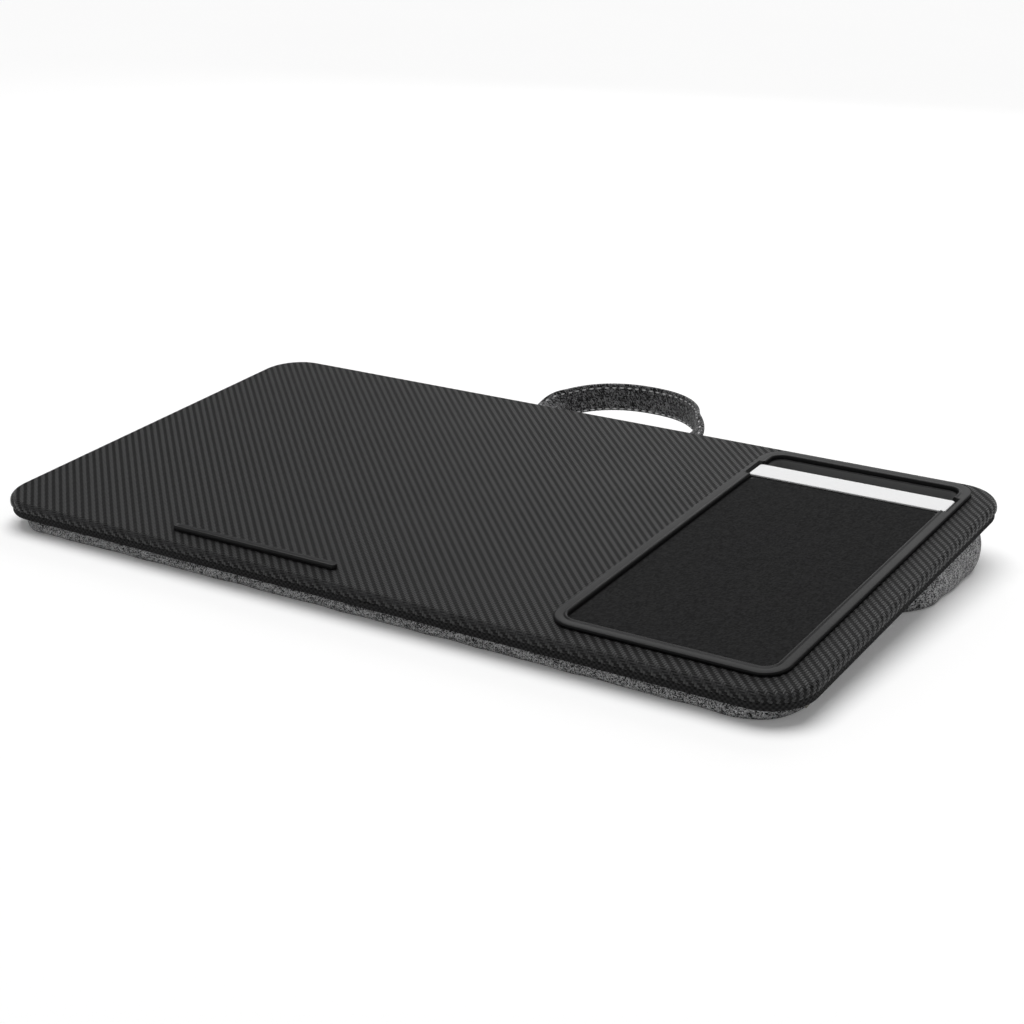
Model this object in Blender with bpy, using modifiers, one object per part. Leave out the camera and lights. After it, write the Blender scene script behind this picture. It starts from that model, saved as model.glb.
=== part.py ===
# Lap desk: a wrapped work board with a mouse pad tray, on two cloth bolsters, with a carry strap.
# Metres, +Z up. The user sits at -Y. The origin is on the floor, below the middle of the whole desk.
import math

import bmesh
import bpy
from mathutils import Matrix, Vector

for old in list(bpy.data.objects):
    bpy.data.objects.remove(old, do_unlink=True)

# Clearance that pieces keep from each other
gap = 0.0003

# Work board: a stiff core inside a thin wrapped cover with a rolled edge
board_width = 0.574
board_depth = 0.310
board_corner = 0.029
core_thickness = 0.0040
cover_wall = 0.0007
roll_radius = 0.0042
roll_underside_radius = 0.0008
cover_lip = 0.014
tilt = math.radians(4.0)
front_edge_height = 0.0199

# Underside: a foam sheet and a base cloth, their edge bound with a woven tape
foam_thickness = 0.0038
cloth_thickness = 0.0008
tape_wall = 0.0012
tape_inset = 0.0013
tape_lap_length = 0.016
tape_lap_wall = 0.0006
tape_lap_x = 0.0168

# Tray insert: a moulded rim round a mouse pad, a divider strip and a phone slot
tray_width = 0.1432
tray_depth = 0.2850
tray_corner = 0.016
tray_right_margin = 0.0175
tray_front_margin = 0.0159
tray_wall = 0.0014
tray_floor = 0.0016
rim_width = 0.0082
rim_height = 0.0024
rim_overlap = 0.0066
rim_round = 0.0011
recess_step = 0.0003
recess_corner = 0.0085
pad_cloth_thickness = 0.0012
pad_backing_thickness = 0.0016
pad_rise = 0.0004
pad_corner = 0.0075
strip_width = 0.0186
strip_inlay = 0.0030
strip_thickness = 0.0012
strip_rise = 0.0011
strip_corner = 0.0022
slot_width = 0.0165
slot_depth = 0.020
slot_corner = 0.0065
boss_radius = 0.0021
boss_rows = 3
screw_radius = 0.0010
screw_head_radius = 0.0026
screw_head_height = 0.0008

# Stop bar: a low rubber bar near the front edge, pegged into the board
bar_length = 0.126
bar_depth = 0.0055
bar_height = 0.0032
bar_round = 0.0009
bar_front_margin = 0.0176
work_margin = 0.008
peg_radius = 0.0020
peg_count = 3
peg_spacing = 0.050

# Bolsters: cloth bags filled with foam, sewn to the base cloth
bag_wall = 0.0012
bag_sink = 0.0005
fill_ease = 0.0011
front_bolster_depth = 0.064
front_bolster_front_inset = 0.0024
front_bolster_end_inset = 0.0085
front_bolster_corner = 0.030
rear_bolster_depth = 0.134
rear_bolster_rear_inset = 0.0078
rear_bolster_end_inset = 0.0030
rear_bolster_corner = 0.041
bolster_draw = 0.0014
bolster_shoulder = 0.0026
bolster_loops = 6

# Carry strap: a cloth sleeve on webbing, flat where it is sewn in and on edge at the hand
strap_width = 0.020
strap_thickness = 0.0024
strap_span = 0.114
strap_reach = 0.059
strap_turn = 0.030
strap_lean = math.radians(5)
strap_skin = 0.0005
strap_points = 33
strap_squareness = 2.25
strap_tail = 0.0010
root_length = 0.018
root_corner = 0.002
hinge_clearance = 0.0022

CORNER_STEPS = 8
ROUND_STEPS = 12

# Heights in the board's own frame, where the top of the cover is zero
cover_height = 2 * cover_wall + core_thickness + 2 * gap
core_top = -cover_wall - gap
core_bottom = core_top - core_thickness
foam_top = -cover_height - gap
foam_bottom = foam_top - foam_thickness
cloth_top = foam_bottom - gap
cloth_bottom = cloth_top - cloth_thickness
rim_bottom = gap
rim_top = rim_bottom + rim_height
pad_top = pad_rise
pad_backing_top = pad_top - pad_cloth_thickness - gap
tray_floor_top = pad_backing_top - pad_backing_thickness - gap
tray_floor_bottom = tray_floor_top - tray_floor
strip_top = pad_top + strip_rise
strip_seat = strip_top - strip_thickness - gap
slot_floor = -slot_depth
slot_outside = slot_floor - tray_wall

# Places in the board's own frame
tray_x = board_width / 2 - tray_right_margin - tray_width / 2
tray_y = -board_depth / 2 + tray_front_margin + tray_depth / 2
recess_inset = rim_width + recess_step
recess_width = tray_width - 2 * recess_inset
recess_front = tray_y - tray_depth / 2 + recess_inset
recess_back = tray_y + tray_depth / 2 - recess_inset
slot_front = recess_back - slot_width
strip_back = slot_front
strip_front = strip_back - strip_width
strip_length = recess_width + 2 * strip_inlay
pad_back = strip_front - gap
work_x = (-board_width / 2 + tray_x - tray_width / 2) / 2
bar_y = -board_depth / 2 + bar_front_margin
hinge_y = board_depth / 2 + hinge_clearance
hinge_z = -cover_height - gap - strap_thickness / 2
root_end = hinge_y - math.hypot(strap_tail, strap_thickness / 2) - gap

# Where the board's frame stands on the floor
board_height = front_edge_height + board_depth / 2 * math.sin(tilt)
front_reach = board_depth / 2 * math.cos(tilt) - roll_radius * math.sin(tilt)
strap_edge_out = strap_width / 2 * abs(math.sin(strap_lean - tilt))
back_reach = (board_depth / 2 + strap_reach) * math.cos(tilt) - hinge_z * math.sin(tilt) + strap_edge_out
board_shift = (front_reach - back_reach) / 2

parts = bpy.data.collections.new("lap_desk")
cutters = bpy.data.collections.new("cutters")
for group in (parts, cutters):
    bpy.context.scene.collection.children.link(group)


def frame_empty(name, place, turn, parent=None):
    """An empty that carries pieces."""
    empty = bpy.data.objects.new(name, None)
    parts.objects.link(empty)
    empty.parent = parent
    empty.location = place
    empty.rotation_euler = (turn, 0, 0)
    return empty


board_frame = frame_empty("board_frame", (0, board_shift, board_height), tilt)
handle_axis = frame_empty("handle_axis", (0, hinge_y, hinge_z), 0, board_frame)
bpy.context.view_layer.update()


def material(name, colour, roughness, metallic=0.0):
    """A plain finish with the piece's own colour."""
    finish = bpy.data.materials.new(name)
    finish.use_nodes = True
    shader = finish.node_tree.nodes["Principled BSDF"]
    shader.inputs["Base Color"].default_value = (*colour, 1)
    shader.inputs["Roughness"].default_value = roughness
    shader.inputs["Metallic"].default_value = metallic
    finish.diffuse_color = (*colour, 1)
    return finish


def add_object(name, mesh, parent=None):
    """Put a mesh in the parts collection, carried by a parent."""
    piece = bpy.data.objects.new(name, mesh)
    parts.objects.link(piece)
    piece.parent = parent
    return piece


def rounded_outline(width, depth, radius, steps=CORNER_STEPS):
    """The corners of a rectangle with round corners, anticlockwise."""
    points = []
    for corner, (sx, sy) in enumerate(((1, 1), (-1, 1), (-1, -1), (1, -1))):
        cx = sx * (width / 2 - radius)
        cy = sy * (depth / 2 - radius)
        for step in range(steps + 1):
            angle = math.radians(90 * (corner + step / steps))
            points.append((cx + radius * math.cos(angle), cy + radius * math.sin(angle)))
    return points


def mesh_from(source):
    """The evaluated mesh of an object, welded, with flat faces in one piece."""
    bpy.context.view_layer.update()
    seen = source.evaluated_get(bpy.context.evaluated_depsgraph_get())
    mesh = bpy.data.meshes.new_from_object(seen)
    shape = bmesh.new()
    shape.from_mesh(mesh)
    bmesh.ops.remove_doubles(shape, verts=shape.verts, dist=1e-6)
    bmesh.ops.dissolve_limit(shape, angle_limit=0.001, verts=shape.verts, edges=shape.edges)
    shape.to_mesh(mesh)
    shape.free()
    return mesh


def plate(name, width, depth, radius, bottom, top, centre=(0, 0), parent=board_frame):
    """A flat plate with round corners, between two heights."""
    curve = bpy.data.curves.new(name, "CURVE")
    curve.dimensions = "2D"
    curve.fill_mode = "BOTH"
    curve.extrude = (top - bottom) / 2
    outline = rounded_outline(width, depth, radius)
    spline = curve.splines.new("POLY")
    spline.points.add(len(outline) - 1)
    for point, (x, y) in zip(spline.points, outline):
        point.co = (x, y, 0, 1)
    spline.use_cyclic_u = True
    drawn = bpy.data.objects.new(name, curve)
    parts.objects.link(drawn)
    mesh = mesh_from(drawn)
    bpy.data.objects.remove(drawn)
    mesh.transform(Matrix.Translation((*centre, (top + bottom) / 2)))
    return add_object(name, mesh, parent)


def disc(name, radius, bottom, top, centre, parent=board_frame):
    """A round peg, boss or hole between two heights."""
    shape = bmesh.new()
    place = Matrix.Translation((*centre, (top + bottom) / 2))
    bmesh.ops.create_cone(shape, cap_ends=True, segments=ROUND_STEPS, radius1=radius, radius2=radius,
                          depth=top - bottom, matrix=place)
    mesh = bpy.data.meshes.new(name)
    shape.to_mesh(mesh)
    shape.free()
    return add_object(name, mesh, parent)


def block(name, low, high, parent=board_frame):
    """A box between two corners."""
    low, high = Vector(low), Vector(high)
    shape = bmesh.new()
    place = Matrix.Translation((low + high) / 2) @ Matrix.Diagonal((*(high - low), 1))
    bmesh.ops.create_cube(shape, size=1, matrix=place)
    mesh = bpy.data.meshes.new(name)
    shape.to_mesh(mesh)
    shape.free()
    return add_object(name, mesh, parent)


def round_edges(piece, rules, segments):
    """Bevel the edges that lie at given heights; a rule is a height and its radius."""
    widest = max(radius for height, radius in rules)
    weights = piece.data.attributes.new("bevel_weight_edge", "FLOAT", "EDGE")
    points = piece.data.vertices
    for edge in piece.data.edges:
        heights = [points[index].co.z for index in edge.vertices]
        for height, radius in rules:
            if all(abs(value - height) < 1e-6 for value in heights):
                weights.data[edge.index].value = radius / widest
    bevel = piece.modifiers.new("round", "BEVEL")
    bevel.limit_method = "WEIGHT"
    bevel.width = widest
    bevel.segments = segments
    bevel.use_clamp_overlap = False


def combine(piece, tool, operation):
    """Cut or join with a second object, which is kept as a wire guide."""
    for group in list(tool.users_collection):
        group.objects.unlink(tool)
    cutters.objects.link(tool)
    tool.hide_render = True
    tool.display_type = "WIRE"
    change = piece.modifiers.new(operation.lower(), "BOOLEAN")
    change.operation = operation
    change.object = tool


def cut(piece, tool):
    combine(piece, tool, "DIFFERENCE")


def join(piece, tool):
    combine(piece, tool, "UNION")


def finish(piece, look, smooth=False):
    """Give a piece its material, and smooth shading where it is round."""
    piece.data.materials.clear()
    piece.data.materials.append(look)
    if smooth:
        piece.data.shade_smooth()
        piece.data.set_sharp_from_angle(angle=math.radians(40))
    return piece


# Finishes
black_cover = material("black_cover", (0.028, 0.028, 0.030), 0.38)
core_board = material("core_board", (0.34, 0.25, 0.16), 0.8)
tray_plastic = material("tray_plastic", (0.030, 0.030, 0.032), 0.45)
pad_cloth = material("pad_cloth", (0.012, 0.012, 0.012), 0.9)
pad_rubber = material("pad_rubber", (0.020, 0.020, 0.020), 0.8)
pale_strip = material("pale_strip", (0.80, 0.81, 0.82), 0.35, 0.2)
stop_rubber = material("stop_rubber", (0.022, 0.022, 0.023), 0.35)
base_foam_look = material("base_foam_look", (0.10, 0.10, 0.10), 0.9)
grey_cloth = material("grey_cloth", (0.13, 0.13, 0.135), 0.92)
black_tape = material("black_tape", (0.020, 0.020, 0.021), 0.7)
white_foam = material("white_foam", (0.72, 0.70, 0.62), 0.9)
webbing = material("webbing", (0.05, 0.05, 0.05), 0.85)
screw_steel = material("screw_steel", (0.55, 0.55, 0.56), 0.35, 1.0)

# Sizes shared by the tray insert and the holes that it sits in
body_width = tray_width - 2 * rim_overlap
body_depth = tray_depth - 2 * rim_overlap
body_corner = tray_corner - rim_overlap
hole_width = body_width + 2 * gap
hole_depth = body_depth + 2 * gap
hole_corner = body_corner + gap
slot_length = recess_width - 2 * gap
slot_y = slot_front + slot_width / 2
trough_width = slot_length + 2 * tray_wall
trough_depth = slot_width + 2 * tray_wall
trough_corner = slot_corner + tray_wall
boss_inset = boss_radius + gap


def boss_places():
    """Centres of the bosses under the two long sides of the rim."""
    places = []
    for side in (-1, 1):
        for row in range(boss_rows):
            along = (row + 0.5) / boss_rows - 0.5
            places.append((tray_x + side * (tray_width / 2 - boss_inset), tray_y + along * tray_depth))
    return places


def peg_places():
    """Centres of the stop bar's pegs."""
    middle = (peg_count - 1) / 2
    return [(work_x + (index - middle) * peg_spacing, bar_y) for index in range(peg_count)]


def tray_hole(name):
    """The opening that the tray insert drops through."""
    return plate(name, hole_width, hole_depth, hole_corner, cloth_bottom, rim_top, (tray_x, tray_y))


def trough_hole(name, bottom, top):
    """The opening round the trough of the phone slot."""
    return plate(name, trough_width + 2 * gap, trough_depth + 2 * gap, trough_corner + gap, bottom, top,
                 (tray_x, slot_y))


def flat_top(shape, low=(-math.inf, -math.inf), high=(math.inf, math.inf)):
    """The faces of the flat top whose middles lie between two corners."""
    faces = [face for face in shape.faces if all(abs(vert.co.z) < gap / 10 for vert in face.verts)]
    middles = [face.calc_center_median() for face in faces]
    return [face for face, middle in zip(faces, middles)
            if low[0] < middle.x < high[0] and low[1] < middle.y < high[1]]


def split_work_area(piece):
    """Outline the clear work area on the finished skin, so that it is a flat face of its own between
    the rolled edges, the stop bar and the tray's rim."""
    low = (-board_width / 2 + roll_radius + work_margin, bar_y + bar_depth / 2 + work_margin)
    high = (tray_x - tray_width / 2 - work_margin, board_depth / 2 - roll_radius - work_margin)
    whole = mesh_from(piece)
    piece.modifiers.clear()
    piece.data = whole
    shape = bmesh.new()
    shape.from_mesh(whole)
    for axis in (0, 1):
        for value in (low[axis], high[axis]):
            top = flat_top(shape)
            edges = list({edge for face in top for edge in face.edges})
            verts = list({vert for face in top for vert in face.verts})
            place, normal = [0, 0, 0], [0, 0, 0]
            place[axis], normal[axis] = value, 1
            bmesh.ops.bisect_plane(shape, geom=verts + edges + top, dist=1e-6, plane_co=place,
                                   plane_no=normal)
    bmesh.ops.dissolve_faces(shape, faces=flat_top(shape, low, high), use_verts=True)
    shape.to_mesh(whole)
    shape.free()


def make_core():
    """The stiff sheet inside the cover, with holes for the tray, bosses and pegs."""
    side = 2 * (cover_wall + gap)
    core = plate("top_board", board_width - side, board_depth - side, board_corner - side / 2,
                 core_bottom, core_top)
    round_edges(core, [(core_top, roll_radius - side / 2)], 3)
    cut(core, tray_hole("core_tray_hole"))
    for index, place in enumerate(boss_places()):
        cut(core, disc(f"core_boss_hole_{index}", boss_radius + gap, cloth_top, rim_top, place))
    for index, place in enumerate(peg_places()):
        cut(core, disc(f"core_peg_hole_{index}", peg_radius + gap, cloth_top, rim_top, place))
    return finish(core, core_board)


def make_cover():
    """The wrapped sheet: over the top, round the rolled edge and a short way under."""
    cover = plate("top_cover", board_width, board_depth, board_corner, -cover_height, 0)
    round_edges(cover, [(0, roll_radius), (-cover_height, roll_underside_radius)], 4)
    side = 2 * cover_wall
    inside = plate("cover_inside", board_width - side, board_depth - side, board_corner - cover_wall,
                   core_bottom - gap, core_top + gap)
    round_edges(inside, [(core_top + gap, roll_radius - cover_wall)], 4)
    cut(cover, inside)
    window = 2 * cover_lip
    cut(cover, plate("cover_window", board_width - window, board_depth - window, board_corner / 2,
                     cloth_bottom, core_bottom))
    cut(cover, tray_hole("cover_tray_hole"))
    for index, place in enumerate(boss_places()):
        cut(cover, disc(f"cover_boss_hole_{index}", boss_radius + gap, core_bottom, rim_top, place))
    for index, place in enumerate(peg_places()):
        cut(cover, disc(f"cover_peg_hole_{index}", peg_radius + gap, core_bottom, rim_top, place))
    split_work_area(cover)
    return finish(cover, black_cover, smooth=True)


def make_underside():
    """Foam sheet, base cloth and the woven tape that binds their edge."""
    side = 2 * (tape_inset + tape_wall + gap)
    corner = board_corner - side / 2
    foam = plate("base_foam", board_width - side, board_depth - side, corner, foam_bottom, foam_top)
    cut(foam, trough_hole("foam_trough_hole", cloth_bottom, rim_top))
    finish(foam, base_foam_look)
    cloth = plate("base_cloth", board_width - side, board_depth - side, corner, cloth_bottom, cloth_top)
    cut(cloth, trough_hole("cloth_trough_hole", cloth_bottom - cloth_thickness, rim_top))
    finish(cloth, grey_cloth)
    outside = 2 * tape_inset
    inside = side - 2 * gap
    tape = plate("edge_tape", board_width - outside, board_depth - outside, board_corner - tape_inset,
                 cloth_bottom, foam_top)
    lap_front = -board_depth / 2 + tape_inset
    join(tape, block("tape_lap", (tape_lap_x - tape_lap_length / 2, lap_front - tape_lap_wall, cloth_bottom),
                     (tape_lap_x + tape_lap_length / 2, lap_front + tape_wall / 2, foam_top)))
    cut(tape, plate("tape_inside", board_width - inside, board_depth - inside, board_corner - inside / 2,
                    cloth_bottom - cloth_thickness, rim_top))
    return finish(tape, black_tape)


def make_tray():
    """The moulded insert: rim, floor under the pad, seat for the strip, and the phone trough."""
    centre = (tray_x, tray_y)
    outer = plate("tray_insert", tray_width, tray_depth, tray_corner, rim_bottom, rim_top, centre)
    cut(outer, plate("rim_inside", tray_width - 2 * rim_width, tray_depth - 2 * rim_width,
                     recess_corner + recess_step, rim_bottom - rim_height, rim_top + rim_height, centre))
    ring = mesh_from(outer)
    outer.modifiers.clear()
    outer.data = ring
    round_edges(outer, [(rim_top, rim_round)], 3)
    middle = rim_bottom + rim_height / 2
    body = plate("tray_body", body_width, body_depth, body_corner, tray_floor_bottom, middle, centre)
    join(outer, body)
    join(outer, plate("tray_trough", trough_width, trough_depth, trough_corner, slot_outside,
                      strip_seat - gap, (tray_x, slot_y)))
    for index, place in enumerate(boss_places()):
        join(outer, disc(f"tray_boss_{index}", boss_radius, core_bottom + gap, middle, place))
    pad_middle = (recess_front + strip_front) / 2
    cut(outer, plate("tray_recess", recess_width, strip_front - recess_front, recess_corner,
                     tray_floor_top, rim_top + rim_height, (tray_x, pad_middle)))
    cut(outer, plate("strip_pocket", strip_length + 2 * gap, strip_width + gap, strip_corner + gap,
                     strip_seat, rim_top + rim_height, (tray_x, (strip_front + strip_back) / 2)))
    cut(outer, plate("slot_inside", slot_length, slot_width, slot_corner, slot_floor,
                     rim_top + rim_height, (tray_x, slot_y)))
    for index, place in enumerate(boss_places()):
        cut(outer, disc(f"tray_screw_hole_{index}", screw_radius + gap, core_bottom - gap, rim_bottom, place))
    return finish(outer, tray_plastic, smooth=True)


def make_screws():
    """The screws that hold the insert's bosses from below: copies of one turned screw."""
    head_top = core_bottom - gap
    head_bottom = head_top - screw_head_height
    tip = -2 * gap
    profile = ((0, tip), (screw_radius, tip), (screw_radius, head_top), (screw_head_radius, head_top),
               (screw_head_radius, head_bottom), (0, head_bottom))
    drawn = bpy.data.meshes.new("screw_profile")
    drawn.from_pydata([(x, 0, z) for x, z in profile], [(i, i + 1) for i in range(len(profile) - 1)], [])
    turned = add_object("screw_profile", drawn)
    turn = turned.modifiers.new("turn", "SCREW")
    turn.steps = turn.render_steps = ROUND_STEPS
    turn.use_merge_vertices = True
    turn.merge_threshold = 1e-5
    shape = mesh_from(turned)
    bpy.data.objects.remove(turned)
    for index, place in enumerate(boss_places(), start=1):
        screw = finish(add_object(f"tray_screw_{index}", shape, board_frame), screw_steel, smooth=True)
        screw.location = (*place, 0)


def make_pad():
    """The mouse pad: a thin rubber backing with a cloth face, in the tray's recess."""
    width = recess_width - 2 * gap
    depth = pad_back - recess_front - gap
    centre = (tray_x, (pad_back + recess_front + gap) / 2)
    backing = plate("mouse_pad_backing", width, depth, pad_corner, pad_backing_top - pad_backing_thickness,
                    pad_backing_top, centre)
    finish(backing, pad_rubber)
    face = plate("mouse_pad_cloth", width, depth, pad_corner, pad_top - pad_cloth_thickness, pad_top, centre)
    return finish(face, pad_cloth)


def make_strip():
    """The plain pale strip between the mouse pad and the phone slot."""
    strip = plate("divider_strip", strip_length, strip_width - gap, strip_corner, strip_top - strip_thickness,
                  strip_top, (tray_x, (strip_front + strip_back) / 2))
    return finish(strip, pale_strip)


def make_stop_bar():
    """The low bar that keeps things from sliding off, with pegs through the cover."""
    bar = plate("stop_bar", bar_length, bar_depth, bar_depth / 2 - gap / 10, gap, gap + bar_height,
                (work_x, bar_y))
    round_edges(bar, [(gap + bar_height, bar_round)], 3)
    for index, place in enumerate(peg_places()):
        join(bar, disc(f"stop_peg_{index}", peg_radius, core_bottom + gap, gap + bar_height / 2, place))
    return finish(bar, stop_rubber, smooth=True)


def underside_height(y):
    """Height of the base cloth's lower face above the floor, at a distance along the floor."""
    low = cloth_bottom - gap
    along = (y - board_shift + low * math.sin(tilt)) / math.cos(tilt)
    return board_height + along * math.sin(tilt) + low * math.cos(tilt)


def bolster_form(name, front, depth, end_inset, corner, shrink, lift, closed):
    """A bolster's outer form as a cage: rings of a round-ended outline, drawn in at the seam and the
    floor, low in the middle of the underside. shrink and lift bring it inside the cloth for the filling."""
    half_x = board_width / 2 - end_inset - shrink
    half_y = depth / 2 - shrink
    radius = corner - shrink
    middle = board_shift + (front + depth / 2) * math.cos(tilt) - cloth_bottom * math.sin(tilt)
    levels = ((1.0, bolster_shoulder, 1.0), (0.4, 0.0, 0.70), (-0.4, 0.0, 0.30),
              (-1.0, bolster_shoulder, 0.05))
    straight = 1 - radius / half_x
    shape = bmesh.new()
    bmesh.ops.create_cube(shape, size=2)
    along = [straight * (2 * i / bolster_loops - 1) for i in range(bolster_loops + 1)]
    along += [side * (straight + (1 - straight) * 0.55) for side in (-1, 1)]
    planes = [((u, 0, 0), (1, 0, 0)) for u in along]
    planes += [((0, v, 0), (0, 1, 0)) for v in (-0.5, 0, 0.5)]
    planes += [((0, 0, w), (0, 0, 1)) for w, inset, part in levels[1:-1]]
    for place, normal in planes:
        bmesh.ops.bisect_plane(shape, geom=shape.verts[:] + shape.edges[:] + shape.faces[:], dist=1e-6,
                               plane_co=place, plane_no=normal)
    for vert in shape.verts:
        u, v, w = vert.co
        ring = max(abs(u), abs(v))
        inset, part = min((abs(w - level), inset, part) for level, inset, part in levels)[1:]
        x, y = 0.0, 0.0
        if ring > 0:
            corner_x = min(max(u / ring * half_x, radius - half_x), half_x - radius)
            corner_y = min(max(v / ring * half_y, radius - half_y), half_y - radius)
            out = Vector((u / ring * half_x - corner_x, v / ring * half_y - corner_y))
            out = out.normalized() * (radius - inset)
            x, y = ring * (corner_x + out.x), ring * (corner_y + out.y)
        y -= bolster_draw * (y / half_y) * (1 - (x / half_x) ** 2)
        z = underside_height(middle + y) * part
        if abs(w + 1) < 1e-6:
            z = z * ring ** 4 - bag_sink * (1 - ring ** 4)
        z = z - gap if w == 1 and closed else z + lift * (1 - part)
        vert.co = (x, middle + y, z)
    top = [face for face in shape.faces if all(abs(v.co.z - underside_height(v.co.y)) < 2 * gap
                                               for v in face.verts)]
    if closed:
        crease = shape.edges.layers.float.new("crease_edge")
        for edge in shape.edges:
            if sum(face in top for face in edge.link_faces) == 1:
                edge[crease] = 1
    else:
        bmesh.ops.delete(shape, geom=top, context="FACES")
    mesh = bpy.data.meshes.new(name)
    shape.to_mesh(mesh)
    shape.free()
    piece = add_object(name, mesh)
    smooth = piece.modifiers.new("smooth", "SUBSURF")
    smooth.levels = smooth.render_levels = 1
    return piece


def make_bolster(name, front, depth, end_inset, corner):
    """A bolster's cloth bag, open at the base cloth and cut flat by the floor, and its filling."""
    bag = bolster_form(f"{name}_cover", front, depth, end_inset, corner, 0, 0, False)
    wall = bag.modifiers.new("wall", "SOLIDIFY")
    wall.thickness = bag_wall
    wall.offset = -1
    reach = board_width
    cut(bag, block(f"{name}_floor", (-reach, -reach, -reach), (reach, reach, 0), None))
    finish(bag, grey_cloth, smooth=True)
    room = bag_wall + gap
    fill = bolster_form(f"{name}_fill", front, depth, end_inset, corner, room + fill_ease, room + bag_sink,
                        True)
    finish(fill, white_foam, smooth=True)
    return fill


def make_bolsters():
    """The low front bolster and the deeper, taller rear one with room for the phone trough."""
    front = -board_depth / 2 + front_bolster_front_inset
    make_bolster("front_bolster", front, front_bolster_depth, front_bolster_end_inset, front_bolster_corner)
    rear = board_depth / 2 - rear_bolster_rear_inset - rear_bolster_depth
    fill = make_bolster("rear_bolster", rear, rear_bolster_depth, rear_bolster_end_inset, rear_bolster_corner)
    cut(fill, trough_hole("fill_trough_hole", slot_outside - gap, rim_top))


def strap_path():
    """Points and turns along the strap, from the right root round to the left. The loop is a rounded
    half oval, and the turn lays the strap flat at its roots."""
    half = strap_span / 2
    reach = strap_tail + strap_reach - hinge_clearance - strap_thickness / 2
    fine = 400
    dense = []
    for step in range(fine + 1):
        angle = math.pi * step / fine
        c, s = math.cos(angle), math.sin(angle)
        power = 2 / strap_squareness
        dense.append(Vector((half * math.copysign(abs(c) ** power, c), reach * abs(s) ** power, 0)))
    lengths = [0.0]
    for a, b in zip(dense, dense[1:]):
        lengths.append(lengths[-1] + (b - a).length)
    total = lengths[-1]
    points = []
    for index in range(strap_points):
        goal = total * index / (strap_points - 1)
        place = min(range(fine + 1), key=lambda k: abs(lengths[k] - goal))
        run = min(goal, total - goal) / strap_turn
        flat = 1 - min(run, 1) ** 2 * (3 - 2 * min(run, 1))
        points.append((dense[place], math.pi / 2 * flat + strap_lean * (1 - flat)))
    start = Vector((0, -strap_tail, 0))
    return [(point + start, turn) for point, turn in points]


def ribbon(name, width, thickness, closed):
    """A flat band with round edges along the strap's path; an open one has no ends."""
    curve = bpy.data.curves.new(name, "CURVE")
    curve.dimensions = "3D"
    curve.twist_mode = "Z_UP"
    curve.bevel_depth = thickness / 2
    curve.bevel_resolution = 1
    curve.extrude = (width - thickness) / 2
    curve.use_fill_caps = closed
    run = strap_path()
    spline = curve.splines.new("POLY")
    spline.points.add(len(run) - 1)
    for point, (place, turn) in zip(spline.points, run):
        point.co = (*place, 1)
        point.tilt = turn
    drawn = bpy.data.objects.new(name, curve)
    parts.objects.link(drawn)
    mesh = mesh_from(drawn)
    bpy.data.objects.remove(drawn)
    return add_object(name, mesh, handle_axis)


def make_strap():
    """The carry strap: a cloth sleeve round a webbing core, and its two ends sewn into the seam."""
    sleeve = ribbon("handle_strap", strap_width, strap_thickness, False)
    skin = sleeve.modifiers.new("skin", "SOLIDIFY")
    skin.thickness = strap_skin
    skin.offset = -1
    finish(sleeve, grey_cloth, smooth=True)
    room = 2 * (strap_skin + gap)
    finish(ribbon("handle_core", strap_width - room, strap_thickness - room, True), webbing, smooth=True)
    low, high = hinge_z - strap_thickness / 2, hinge_z + strap_thickness / 2
    for side, word in ((1, "right"), (-1, "left")):
        centre = (side * strap_span / 2, root_end - root_length / 2)
        root = plate(f"handle_root_{word}", strap_width, root_length, root_corner, low, high, centre)
        finish(root, grey_cloth)
        for piece in ("base_foam", "edge_tape"):
            cut(bpy.data.objects[piece], plate(f"{piece}_{word}_slot", strap_width + 2 * gap,
                                               root_length + 2 * gap, root_corner + gap, low - gap,
                                               high + strap_thickness, centre))


make_core()
make_cover()
make_underside()
make_tray()
make_screws()
make_pad()
make_strip()
make_stop_bar()
make_bolsters()
make_strap()
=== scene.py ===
# %% [markdown]
# # A lap desk for the studio
#
# The real object is a stiff board wrapped in a black sheet with a fine diagonal twill, with a
# moulded tray let into its right side: a mouse pad, a pale divider strip and a slot that props a
# phone. Two cloth bolsters carry it on the lap, and a flat cloth strap is sewn into the rear seam.
#
# A solid model of every piece is loaded first, and each surface made below lies where its solid
# lies. The lesson is how to get a believable surface from a formula, a profile and an outline,
# with a finish that holds up in a close view.

# %% Load the solid model
import math

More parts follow.
